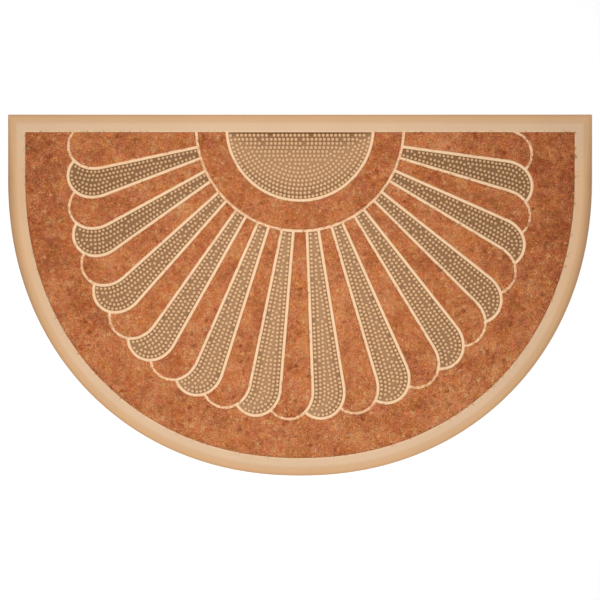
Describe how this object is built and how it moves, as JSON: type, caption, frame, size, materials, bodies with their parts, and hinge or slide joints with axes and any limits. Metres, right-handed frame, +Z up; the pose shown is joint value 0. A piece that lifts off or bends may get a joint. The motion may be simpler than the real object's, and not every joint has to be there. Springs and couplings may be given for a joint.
{
  "type": "half-round coir doormat",
  "caption": "Flat half-round doormat: a moulded rubber base with a bevelled edge and raised sunburst ridges, with coir pile set in the fields between them.",
  "frame": {"origin": "on the floor, under the middle of the mat's width and depth", "axes": "+X along the straight edge, +Y towards the straight edge, +Z up out of the pile"},
  "size_m": [0.99, 0.612, 0.012],
  "materials": {
    "rubber": "matt moulded rubber in a warm tan, with lighter worn ridges",
    "coir": "short brushed coir pile, orange-brown with lighter and darker flecks"
  },
  "bodies": {
    "root": {"rubber_base": "rubber", "coir_border": "coir", "coir_ring": "coir", "coir_ray_01": "coir", "coir_ray_02": "coir", "coir_ray_03": "coir", "coir_ray_04": "coir", "coir_ray_05": "coir", "coir_ray_06": "coir", "coir_ray_07": "coir", "coir_ray_08": "coir", "coir_ray_09": "coir", "coir_ray_10": "coir", "coir_ray_11": "coir", "coir_ray_12": "coir", "coir_ray_13": "coir"}
  },
  "joints": []
}
